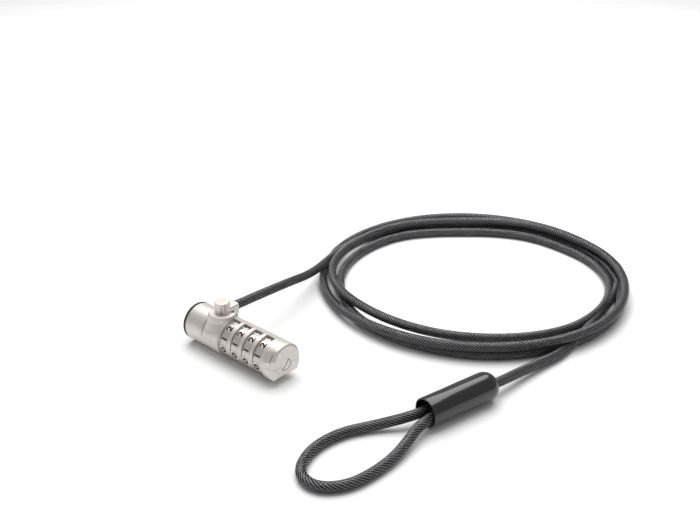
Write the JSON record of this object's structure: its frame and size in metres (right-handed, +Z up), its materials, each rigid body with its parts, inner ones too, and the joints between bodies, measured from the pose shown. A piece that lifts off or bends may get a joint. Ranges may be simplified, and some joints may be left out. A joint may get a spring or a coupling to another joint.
{
  "type": "laptop cable lock",
  "caption": "Number-dial laptop lock with a T-bar nose, release button and swivelling terminal, on a coiled coated steel cable that ends in a crimped eye.",
  "frame": {"origin": "centre of the lock body's footprint on the table, cable left out", "axes": "+X along the lock body from the laptop face to the release button, +Y the side the cable leaves, dials read from -Y, +Z up"},
  "size_m": [0.1431, 0.2324, 0.0227],
  "materials": {
    "nickel_diecast": "satin pearl nickel plate on zinc die casting, soft broad highlights",
    "dial_nickel": "satin nickel plated dial rings with black filled figures",
    "washer_rubber": "matte black cushioning washer",
    "hardened_steel": "bright hardened steel pins, T-bar and rod",
    "sleeve_brass": "plain turned brass code sleeves",
    "spring_steel": "drawn spring wire",
    "coated_cable": "dark steel wire rope seen through a clear glossy plastic jacket",
    "crimp_aluminium": "pressed oval crimp sleeve",
    "cover_black": "gloss black moulded sleeve cover"
  },
  "bodies": {
    "housing": {"lower_shell": "nickel_diecast", "upper_shell": "nickel_diecast", "face_washer": "washer_rubber", "slot_pin_near": "hardened_steel", "slot_pin_far": "hardened_steel", "terminal_retaining_pin": "hardened_steel", "return_spring": "spring_steel"},
    "t_bar": {"t_bar": "hardened_steel"},
    "release": {"release_rod": "hardened_steel", "release_button": "nickel_diecast", "cam_pin": "hardened_steel"},
    "cable": {"cable_terminal": "nickel_diecast", "cable_lead": "coated_cable", "cable_coil": "coated_cable", "cable_tail": "coated_cable", "cable_eye": "coated_cable", "crimp_cover": "cover_black", "crimp_sleeve": "crimp_aluminium"},
    "dial_1": {"dial_1": "dial_nickel", "code_sleeve_1": "sleeve_brass"},
    "dial_2": {"dial_2": "dial_nickel", "code_sleeve_2": "sleeve_brass"},
    "dial_3": {"dial_3": "dial_nickel", "code_sleeve_3": "sleeve_brass"},
    "dial_4": {"dial_4": "dial_nickel", "code_sleeve_4": "sleeve_brass"}
  },
  "joints": [
    {"name": "release_slide", "type": "slide", "parent": "housing", "child": "release", "axis": [-1, 0, 0], "range_m": [0, 0.0022], "stiffness_N_per_m": 400, "springref_m": -0.003, "deforming": ["return_spring"]},
    {"name": "tbar_turn", "type": "hinge", "parent": "housing", "child": "t_bar", "pos_m": [-0.02, 0, 0.008], "axis": [1, 0, 0], "range_deg": [0, 90]},
    {"name": "terminal_swivel", "type": "hinge", "parent": "housing", "child": "cable", "pos_m": [-0.00825, 0, 0.018], "axis": [0, 0, 1], "range_deg": [-20, 20]},
    {"name": "dial_1_turn", "type": "hinge", "parent": "housing", "child": "dial_1", "pos_m": [-0.00005, 0, 0.008], "axis": [1, 0, 0], "continuous": true},
    {"name": "dial_2_turn", "type": "hinge", "parent": "housing", "child": "dial_2", "pos_m": [0.00632, 0, 0.008], "axis": [1, 0, 0], "continuous": true},
    {"name": "dial_3_turn", "type": "hinge", "parent": "housing", "child": "dial_3", "pos_m": [0.01269, 0, 0.008], "axis": [1, 0, 0], "continuous": true},
    {"name": "dial_4_turn", "type": "hinge", "parent": "housing", "child": "dial_4", "pos_m": [0.01906, 0, 0.008], "axis": [1, 0, 0], "continuous": true}
  ],
  "couplings": [
    {"joint": "tbar_turn", "follows": "release_slide", "rad_per_m": 713.9}
  ]
}
